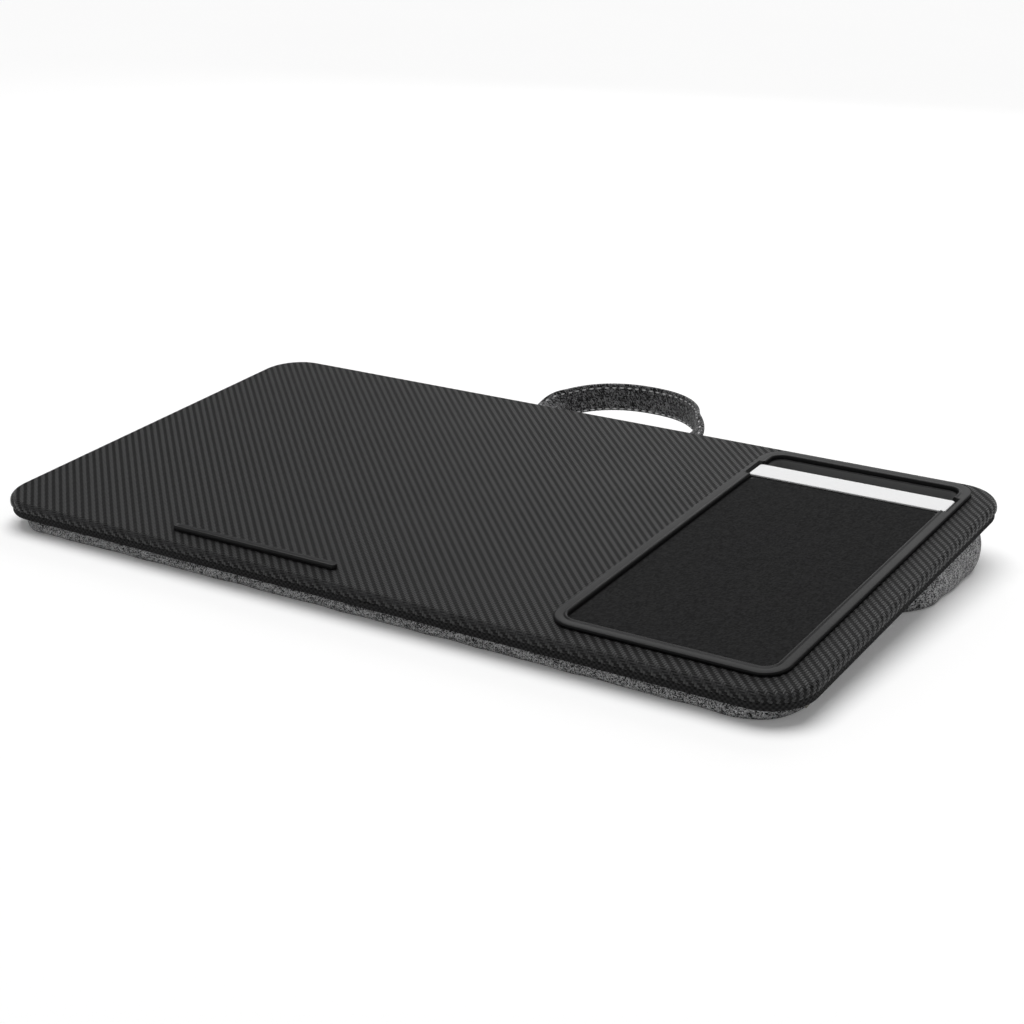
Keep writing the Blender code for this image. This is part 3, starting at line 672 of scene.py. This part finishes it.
# %% Pad, strip and bar
def add_plate(name, size, radius, centre, look, solid, profile, shiny=(), counts=SMALL):
    """A closed plate: the profile, in mm, runs from the underside's middle out, up and over to
    the top's. Shiny lists the levels whose edge is glossier and takes the pale edge colour: a
    painted highlight on the stop bar, a darker band on the divider."""
    stack = rings(size, radius, np.array(profile) * 0.001, centre, **counts)
    made = add_piece(name, shell(stack, caps=(0, -1)), look, [solid])
    mark(made, np.repeat([float(k in shiny) for k in range(len(profile))], stack.shape[1]))
    return made


PAD_SIZE = (RECESS_WIDTH - 0.0006, STRIP_FRONT - RECESS_FRONT - 0.0006)
add_plate("mouse_pad_rubber", PAD_SIZE, 0.0075, PAD_CENTRE, RUBBER_LOOK, "mouse_pad_backing",
          [(20, -2.7), (0.2, -2.7), (0, -2.5), (0, -1.3), (0.2, -1.12), (20, -1.12)])
pad = add_plate("mouse_pad_face", PAD_SIZE, 0.0075, PAD_CENTRE, PAD_LOOK, "mouse_pad_cloth",
                [(20, -0.8), (0.2, -0.8), (0.02, -0.6), (0, -0.1), (0.1, 0.18),
                              (0.35, 0.34), (0.8, 0.4), (8, 0.4), (20, 0.4)])
# On this strip the pale colour is the darker one, so its marked top rounding turns a little darker.
add_plate("divider", (RECESS_WIDTH + 0.006, STRIP - 0.0003), 0.0022, STRIP_CENTRE, STRIP_LOOK,
          "divider_strip", [(4, 0.3), (0.2, 0.3), (0, 0.48), (0, 1.15),
                                          (0.12, 1.38), (0.4, 1.48), (0.8, 1.5), (4, 1.5)],
          shiny=(4, 5))
BAR_CENTRE = ((-BOARD[0] / 2 + TRAY_CENTRE[0] - TRAY[0] / 2) / 2, -BOARD[1] / 2 + 0.0176)
# The bar's marked top edges take its paler colour: painted highlights.
add_plate("front_stop", (0.126, 0.0055), 0.0027, BAR_CENTRE, BAR_LOOK, "stop_bar",
          [(2.6, 0.3), (0.3, 0.3), (0.05, 0.45), (0, 0.8), (0.1, 2.4), (0.22, 3.05),
           (0.5, 3.4), (0.8, 3.5), (1.1, 3.44), (1.6, 3.2), (2.2, 3.05), (2.6, 3.02)],
          shiny=(5, 6, 7, 8), counts=dict(corner=14, side=30))

# %% [markdown]
# ## Under the board
#
# Below the cover come a sheet of foam and the base cloth, and a woven tape binds their edges. The
# tape is a closed tube with a flattened section, with its own map so the weave runs along it. Its
# two ends overlap at the front.

# %% Foam sheet and base cloth
UNDER_INSET = 0.0028
CLOTH_CUT = (BOARD[0] - 2 * UNDER_INSET, BOARD[1] - 2 * UNDER_INSET)
OPENING = (TROUGH[0] + 0.0006, TROUGH[1] + 0.0006)


def holed_sheet(name, top, bottom, look, solid):
    """A sheet from the board's outline to the trough's opening, with both edges closed."""
    outer = rings(CLOTH_CUT, BOARD_CORNER - UNDER_INSET,
                  [(0.0003, top), (0, (top + bottom) / 2), (0.0003, bottom)], **EVEN)
    hole = rings(OPENING, 0.0082, [(0, bottom), (0, top)], SLOT_CENTRE, **EVEN)
    lower, upper = bridge(outer[2], hole[0], 10), bridge(hole[1], outer[0], 10)
    stack = np.vstack([outer[1:], lower, hole, upper, outer[:1]])[::-1]
    return add_piece(name, shell(stack, loop=True), look, [solid])


foam = holed_sheet("foam_sheet", -0.0063, -0.0101, SHEET_FOAM_LOOK, "base_foam")
base = holed_sheet("base_cloth_sheet", -0.0104, CLOTH_UNDER, CLOTH_LOOK, "base_cloth")

# %% Binding tape
tape_profile = np.array([
    (2.4, -6.55), (1.75, -6.32), (1.35, -6.55), (1.18, -7.1), (1.1, -7.9), (1.22, -8.55),
    (1.3, -8.75), (1.22, -8.95), (1.08, -9.6), (1.15, -10.4), (1.4, -11.0), (1.85, -11.25),
    (2.4, -10.9)]) * 0.001


def make_tape():
    stack = rings(BOARD, BOARD_CORNER, tape_profile, corner=16, side=90)[::-1]
    length = travelled(np.vstack([stack[0], stack[0, :1]]))
    height = travelled(tape_profile[::-1])
    height = np.append(height, height[-1] + 0.0008)
    add_piece("binding_tape", shell(stack, loop=True), TAPE_LOOK, ["edge_tape"],
              corner_map(np.stack(np.meshgrid(length, height), -1)))


def make_tape_lap(centre=0.0168, length=0.016, rise=0.0006, sunk=0.0001):
    """The tape's overlap: a patch on its front whose lift fades to nothing at the rim."""
    u, v = np.meshgrid(np.linspace(-1, 1, 33), np.linspace(0, 1, 13))
    section = tape_profile[1:12]
    where = v * (len(section) - 1)
    inset, height = (np.interp(where, np.arange(len(section)), values) for values in section.T)
    fade = np.clip(1 - np.abs(u) ** 12, 0, 1) * np.clip(1 - np.abs(2 * v - 1) ** 6, 0, 1)
    lift = rise * fade - sunk
    front = np.stack([centre + u * length / 2, -BOARD[1] / 2 + inset - lift, height], -1)
    rows, columns = u.shape
    a = np.arange(rows - 1)[:, None] * columns + np.arange(columns - 1)
    faces = np.stack([a, a + columns, a + columns + 1, a + 1], -1).reshape(-1, 4)
    uv = np.stack([front[..., 0], v * 0.006], -1).reshape(-1, 2)[faces.ravel()]
    thicken(add_piece("binding_tape_lap", (front.reshape(-1, 3), [faces]), TAPE_LOOK, (),
                      uv), 0.0004)


make_tape()
make_tape_lap()

# %% [markdown]
# ## The bolsters
#
# A bolster is a cloth bag sewn to the base cloth and filled with foam. Its side pulls in at the
# seam and where it meets the lap, and swells between. The closed form comes from a formula: an
# outline with very round ends, whose inset changes with the height. Then Blender's Cloth swells
# it under a little pressure with its top and its sole held, and no point may move further than a
# few millimetres. Gathers are finer than the cloth grid, so they are added afterwards, as waves
# along the outline.

# %% Bolster form
SHOULDER = 0.0038  # inset of the flat top and of the sole
PINCH = 0.0026  # how far the wall draws in at the seam and at the floor


def under_height(y):
    """Height of the base cloth's lower face above the floor, at a place y in the room."""
    low = CLOTH_UNDER - 0.0003
    along = (y - SHIFT + low * math.sin(TILT)) / math.cos(TILT)
    return LIFT + along * math.sin(TILT) + low * math.cos(TILT)


def bolster_rings(solid, bend, **counts):
    """Rings from the top's middle over the seam, down the wall and under to the sole's middle. On
    the wall, with t from 0 at the seam to 1 at the floor, the inset is the pinch times |2t - 1| to
    the power 2.6, and the height is (1 - t) of the local height. Lengthwise the sides draw in by
    1.4 mm at the middle. `solid` names the bag whose box gives the outer size."""
    low, high = (np.array(value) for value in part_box(solid))
    width, depth = (high - low)[:2]
    middle = (0, (low[1] + high[1]) / 2)
    t = np.linspace(0.02, 0.97, 16)
    wall = np.stack([PINCH * np.abs(2 * t - 1) ** 2.6, 1 - t], -1)
    reach = depth / 2 - 0.006
    over = np.stack([reach * np.linspace(1, 0, 16) ** 1.2 + SHOULDER, np.ones(16)], -1)
    under = np.stack([reach * np.linspace(0, 1, 9) ** 1.6 + SHOULDER, np.zeros(9)], -1)
    profile = np.vstack([over, wall, under])
    stack = rings((width, depth), bend, profile, middle, **counts)
    across = (stack[..., 1] - middle[1]) / (depth / 2)
    stack[..., 1] -= 0.0014 * across * (1 - (stack[..., 0] / (width / 2)) ** 2)
    stack[..., 2] *= under_height(stack[..., 1])
    return stack, profile


def clear_trough(points, spare, rise=0.0025):
    """Press the top down where the phone slot's trough dips in: nothing inside its rounded outline,
    grown by `spare`, stands higher than its underside, and the hollow rises again over 2.5 mm."""
    x = points[..., 0] - SLOT_CENTRE[0]
    y = (points[..., 1] - SHIFT) / math.cos(TILT) - SLOT_CENTRE[1]
    beyond = [np.maximum(np.abs(x) - OPENING[0] / 2 + TROUGH_CORNER, 0),
              np.maximum(np.abs(y) - OPENING[1] / 2 + TROUGH_CORNER - 0.0008, 0)]
    past = np.hypot(*beyond) - TROUGH_CORNER - spare
    floor = to_room((0, SLOT_CENTRE[1], TROUGH_UNDER))[2] - spare
    points[..., 2] = np.minimum(points[..., 2], floor + smooth(past / rise) * 0.03)
    return points


# %% Cloth pass
def swell(name, points, faces, held, cap, frames=20):
    """Let Blender's Cloth swell a closed mesh under pressure, hold the points in `held`, and limit
    each move to `cap`. Returns the new points."""
    scene = bpy.context.scene
    body = new_object(name + "_cloth", make_mesh(name + "_cloth", points, faces))
    group = body.vertex_groups.new(name="held")
    group.add(np.flatnonzero(held).tolist(), 1.0, "REPLACE")
    cloth = body.modifiers.new("cloth", "CLOTH")
    for key, value in dict(quality=4, mass=0.2, tension_stiffness=12, compression_stiffness=12,
                           bending_stiffness=0.3, use_pressure=True, uniform_pressure_force=4,
                           vertex_group_mass="held").items():
        setattr(cloth.settings, key, value)
    cloth.settings.effector_weights.gravity = 0
    cloth.collision_settings.use_collision = False
    cloth.point_cache.frame_start, cloth.point_cache.frame_end = 1, frames
    for moment in range(1, frames + 1):
        scene.frame_set(moment)
    seen = body.evaluated_get(bpy.context.evaluated_depsgraph_get())
    after = np.zeros(len(points) * 3, np.float32)
    seen.data.vertices.foreach_get("co", after)
    scene.frame_set(1)
    mesh = body.data
    bpy.data.objects.remove(body)
    bpy.data.meshes.remove(mesh)
    move = after.reshape(-1, 3) - points
    size = np.linalg.norm(move, axis=1, keepdims=True)
    print(f"{name}: cloth moved up to {size.max() * 1000:.1f} mm, kept to {cap * 1000:.1f}")
    return points + move * np.minimum(1, cap / np.maximum(size, 1e-9))


# %% Gathers and finer rows
def gathers(stack, profile, seed, fine, broad):
    """Outward waves along the outline: three short ones near the seam, two at the floor line,
    and three long ones over the whole wall. All fade out where the top and the sole begin."""
    phase = np.random.default_rng(seed).uniform(0, 2 * np.pi, 8)
    ring = stack[len(profile) // 2]
    s = np.cumsum(np.linalg.norm(ring - np.roll(ring, 1, 0), axis=1))
    height, wall = profile[:, 1], smooth((0.0036 - profile[:, 0]) / 0.001)
    kinds = ((fine, np.exp(-((1 - height) / 0.3) ** 2) * wall, (0.011, 0.017, 0.026)),
             (1.6 * fine, np.exp(-(height / 0.25) ** 2) * wall, (0.031, 0.052)),
             (broad / 2, wall * 4 * height * (1 - height), (0.062, 0.094, 0.15)))
    rise = 0
    for (size, fade, lengths), start in zip(kinds, np.split(phase, [3, 5])):
        turns = np.round(s[-1] / np.array(lengths))[:, None] * s / s[-1]
        rise = rise + size * fade[:, None] * np.sin(2 * np.pi * turns + start[:, None]).sum(0)
    return rise


def between(grid, wrap):
    """Twice as many rows: the new one between b and c is 9/16 (b + c) - 1/16 (a + d), and at the
    ends of an open stack the missing neighbour is the end row itself."""
    if wrap:
        a, b, c, d = (np.roll(grid, shift, 0) for shift in (1, 0, -1, -2))
    else:
        b, c = grid[:-1], grid[1:]
        a, d = np.vstack([grid[:1], b[:-1]]), np.vstack([c[1:], grid[-1:]])
    middle = (9 * (b + c) - (a + d)) / 16
    finer = np.empty((len(grid) + len(middle),) + grid.shape[1:])
    finer[::2], finer[1::2] = grid, middle
    return finer


# %% Bags and fills
GAP = 0.0016  # from a bag's outside to its foam
SPARE = 0.0006  # from the trough to what lies below it


def closed(stack):
    """A bolster's stack runs top to sole, so its faces are turned to look outwards."""
    points, faces = shell(stack, caps=(0, -1))
    return points, [part[:, ::-1] for part in faces]


def make_bolster(name, bend, cap, seed, fine, broad):
    """The bag: formula, cloth pass, one subdivision, gathers, and a hollow for the trough. The
    foam inside is every second point of the bag, drawn in by the gap all round."""
    stack, profile = bolster_rings(f"{name}_cover", bend, corner=9, side=36)
    points, faces = closed(stack)
    held = np.append(np.repeat(profile[:, 0] > 0.003, stack.shape[1]), [True, True])
    points = swell(name, points, faces, held, cap)
    body, profile = between(points[:-2].reshape(stack.shape), False), between(profile, False)
    body = between(body.swapaxes(0, 1), True).swapaxes(0, 1)
    around = np.roll(body, -1, 1) - np.roll(body, 1, 1)
    out = np.stack([around[..., 1], -around[..., 0]], -1)
    out /= np.maximum(np.linalg.norm(out, axis=-1, keepdims=True), 1e-9)
    body[..., :2] += out * gathers(body, profile, seed, fine, broad)[..., None]
    body[..., 2] = np.clip(body[..., 2], 0, under_height(body[..., 1]))
    bag = add_piece(f"{name}_bag", closed(clear_trough(body, SPARE)), CLOTH_LOOK,
                    [f"{name}_cover"], room=True)
    inner = body[::2, ::2].copy()
    inner[..., :2] -= GAP * out[::2, ::2]
    inner[..., 2] = np.clip(inner[..., 2], GAP, under_height(inner[..., 1]) - GAP)
    fill = add_piece(f"{name}_foam", closed(clear_trough(inner, GAP + SPARE)), FILL_LOOK,
                     [f"{name}_fill"], room=True)


make_bolster("front_bolster", bend=0.03, cap=0.0026, seed=11, fine=0.00022, broad=0.0009)
make_bolster("rear_bolster", bend=0.041, cap=0.004, seed=23, fine=0.00022, broad=0.0013)

# %% [markdown]
# ## The carry strap
#
# The strap is a flat sleeve of cloth round a webbing core. It leaves the rear seam lying flat,
# turns on to its edge within three centimetres, and makes a squarish loop, a superellipse. At each
# point three directions are known, along, across and out of the cloth, and the section and the
# stitches are drawn in them. The webbing rides on the handle; the sleeve and its stitches ride on
# no body.

# %% Strap path and section
HINGE, BLEND = np.array([0.0, 0.1572, -0.0075]), (0, 0.003, 0)
SPAN, REACH, TAIL, LEAD = 0.114, 0.0566, 0.001, 0.0188
HALF_WIDTH, HALF_THICK = 0.01, 0.0012
SEAMS = (0.007, -0.0085)


def strap_frames(count, lead):
    """Evenly spaced points along the strap, with its directions along, across and out. The loop is
    x = a cos, y = b sin, each with its size to the power 2 / 2.25. Across turns from flat to 85
    degrees by a smooth step over the first 30 mm."""
    angle = np.linspace(0, np.pi, 1201)
    c, s, power = np.cos(angle), np.abs(np.sin(angle)), 2 / 2.25
    loop = np.stack([SPAN / 2 * np.sign(c) * np.abs(c) ** power, REACH * s ** power - TAIL], -1)
    start = np.linspace(-TAIL - lead, -TAIL, 60, endpoint=False)
    before = np.stack([np.full(60, SPAN / 2), start], -1)
    whole = np.vstack([before, loop, before[::-1] * (-1, 1)] if lead else [loop])
    run = travelled(whole)
    place = np.linspace(0, run[-1], count)
    flat_path = np.stack([np.interp(place, run, whole[:, k]) for k in (0, 1)], -1)
    along = np.gradient(flat_path, axis=0)
    along /= np.linalg.norm(along, axis=1, keepdims=True)
    side = np.stack([along[:, 1], -along[:, 0], np.zeros(count)], -1)
    up = np.array([0.0, 0.0, 1.0])
    rise = smooth(np.minimum(place - lead, run[-1] - lead - place) / 0.03)
    turn = (np.pi / 2 * (1 - rise) + math.radians(5) * rise)[:, None]
    across = np.cos(turn) * up + np.sin(turn) * side
    out = np.cos(turn) * side - np.sin(turn) * up
    centre = np.column_stack([flat_path, np.zeros(count)]) + HINGE
    return place, centre, np.column_stack([along, np.zeros(count)]), across, out


def band_height(w, half_width, half_thick, seams):
    """Half thickness at w across: flat with round edges, and a dip at each seam."""
    past = np.maximum(np.abs(w) - (half_width - half_thick), 0) / half_thick
    height = half_thick * np.sqrt(np.clip(1 - past ** 2, 0, 1))
    for seam in seams:
        height = height * (1 - 0.3 * np.exp(-((w - seam) / 0.00045) ** 2))
    return height


def add_band(name, frames, half_width, half_thick, look, solids, body, seams=(),
             columns=26):
    """A flat band along the strap, in rings that go out over one face and back over the other.
    Its map holds the distances along it and round it."""
    place, centre, _, across, out = frames
    edge = np.cos(np.linspace(0, np.pi, columns + 1))
    w = np.sign(edge) * np.abs(edge) ** 0.8 * half_width
    w = np.concatenate([w, w[-2:0:-1]])
    face = np.repeat([1, -1], [columns + 1, columns - 1])
    h = band_height(w, half_width, half_thick, seams) * face
    stack = centre[:, None] + w[:, None] * across[:, None] + h[:, None] * out[:, None]
    girth = travelled(np.append(w, w[0])[:, None])
    walls = corner_map(np.stack(np.meshgrid(place, girth, indexing="ij"), -1))
    ends = np.zeros((2 * 3 * len(w), 2))
    return add_piece(name, shell(stack, caps=(0, -1)), look, solids,
                     np.vstack([walls, ends]), body)


def crossing(piece):
    """Write the piece's placement into its points."""
    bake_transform(piece)


crossing(add_band("strap_sleeve", strap_frames(300, LEAD), HALF_WIDTH, HALF_THICK, STRAP_LOOK,
                  ["handle_strap", "handle_root_left", "handle_root_right"], None,
                  SEAMS))
add_band("strap_webbing", strap_frames(220, 0.0), 0.0092, 0.0004, WEB_LOOK, ["handle_core"],
         "handle", columns=12)


# %% Stitches
def make_stitches(pitch=0.0056, length=0.0034, radius=0.00055, proud=0.00022, start=0.0212):
    """Each stitch is a small spindle on the sleeve's face: radius times the root of 1 - u^2 round
    its line, u from -1 to 1 along it, and its ends dip in by u^2 of 0.2 mm."""
    place, *frame_axes = strap_frames(1500, LEAD)
    nearest = np.searchsorted(place, np.arange(start, place[-1] - start, pitch))
    centre, along, across, out = (axis[nearest][:, None, None] for axis in frame_axes)
    u = np.linspace(-0.98, 0.98, 6)[:, None]
    v = np.linspace(0, 2 * np.pi, 6, endpoint=False)
    girth = radius * np.sqrt(1 - u ** 2)
    every = []
    for seam in SEAMS:
        rest = band_height(np.array([seam]), HALF_WIDTH, HALF_THICK, SEAMS)[0] + proud
        for face in (-1, 1):
            sideways = seam + girth * np.cos(v) * face
            outward = (girth * np.sin(v) - 0.0002 * u ** 2 + rest) * face
            every.append(centre + (u * length / 2)[..., None] * along
                         + sideways[..., None] * across + outward[..., None] * out)
    grid = np.vstack(every)
    count, rows, columns = grid.shape[:3]
    first = np.arange(columns)
    ends = np.array([first[::-1], first + (rows - 1) * columns])
    starts = (np.arange(count) * rows * columns)[:, None, None]
    faces = [(part + starts).reshape(-1, part.shape[1])[:, ::-1]
             for part in (grid_faces(rows, columns), ends)]
    crossing(add_piece("strap_stitches", (grid.reshape(-1, 3), faces), THREAD_LOOK, (),
                       body=None))


make_stitches()

# %% [markdown]
# ## The pieces that keep their solid's shape
#
# The board inside the cover and the six screws have the right shape already and only get a finish:
# pressed wood fibres, and plain zinc.

# %% Fibreboard and screws
def zinc_finish():
    look = Finish("zinc screw", 0.35, Metallic=1.0)
    fine = look.group(grain, Size=0.0003)
    base = look.mix(look.group(dust)["Film"], (0.56, 0.56, 0.57), (0.36, 0.35, 0.33))
    return look.done(base, fine["Height"], 0.00001, look.mul(fine["Drift"], 0.25, 0.25))


fibre = heathered("fibreboard", (0.2, 0.14, 0.085), (0.44, 0.33, 0.21), thread=0.0016,
                  relief=0.0001, low=0.0, high=1.0, roughness=0.85, specular=0.3, sheen=0.0)
zinc = zinc_finish()
for name, look in [("top_board", fibre)] + [(f"tray_screw_{k}", zinc) for k in range(1, 7)]:
    bpy.data.objects[name].material_slots[0].material = look
    print(name, "gets", look.name)

# %% [markdown]
# ## Floor, light and camera
#
# The photograph is lit from above by a broad soft source on white. A sun lamp with a wide angle
# gives even light and soft shadows, and the world fills them. The cover's gloss needs something to
# mirror, so a panel stands behind the desk.

# %% Floor
def floor_finish():
    """Pale, with a little light of its own that only the camera sees."""
    look = Finish("floor", 0.9, specular=0.1)
    drift = look.noise(look.place, 2.0, 1.0)
    look.feed("Base Color", look.mix(drift, grey(0.94), grey(0.96)))
    look.shader.inputs["Emission Color"].default_value = (1, 1, 1, 1)
    seen = look.node("LightPath", {})["Is Camera Ray"]
    look.feed("Emission Strength", look.mul(seen, 0.13))
    return look.look


floor_mesh = bpy.data.meshes.new("floor")
floor_mesh.from_pydata([(x, y, -0.0003) for x, y in ((-9, -9), (9, -9), (9, 9), (-9, 9))], [],
                       [(0, 1, 2, 3)])
floor_mesh.materials.append(floor_finish())
new_object("floor", floor_mesh)


# %% Light
def add_lamp(name, kind, energy, place, **settings):
    """A lamp at a place, turned to look at the desk."""
    lamp = bpy.data.lights.new(name, kind)
    for key, value in dict(energy=energy, **settings).items():
        setattr(lamp, key, value)
    made = new_object(name, lamp)
    made.location = place
    made.rotation_euler = made.location.to_track_quat("Z", "Y").to_euler()
    print(f"{name}: {kind.lower()} lamp of {energy}")


add_lamp("overhead", "SUN", 2.2, (-0.25, 0.3, 2.0), angle=math.radians(55))
add_lamp("rear_panel", "AREA", 5.0, (-0.3, 1.5, 0.8), shape="RECTANGLE", size=1.8, size_y=0.8)

world = bpy.data.worlds.new("studio")
world.use_nodes = True
bpy.context.scene.world = world
sky = Graph(world.node_tree)
background = sky.tree.nodes["Background"].inputs
background["Color"].default_value = (1, 1, 1, 1)
seen = sky.node("LightPath", {})["Is Camera Ray"]
sky.tree.links.new(sky.mul(seen, 0.8, 0.2), background["Strength"])

# %% Camera
camera = new_object("camera", bpy.data.cameras.new("camera"))
camera.data.lens, camera.data.sensor_width = 69.64, 36.0
place = to_room((0.6557, -0.9585, 0.4912))
right, ahead = (to_room(way) - to_room((0, 0, 0))
                for way in ((0.84057, 0.54032, -0.0386), (-0.50881, 0.76309, -0.3985)))
turned = np.column_stack([right, np.cross(right, ahead), -ahead, place])
camera.matrix_world = Matrix(turned.tolist()).to_4x4()
bpy.context.scene.camera = camera
bpy.context.scene.view_settings.view_transform = "Standard"
print("camera stands at", np.round(place, 3))
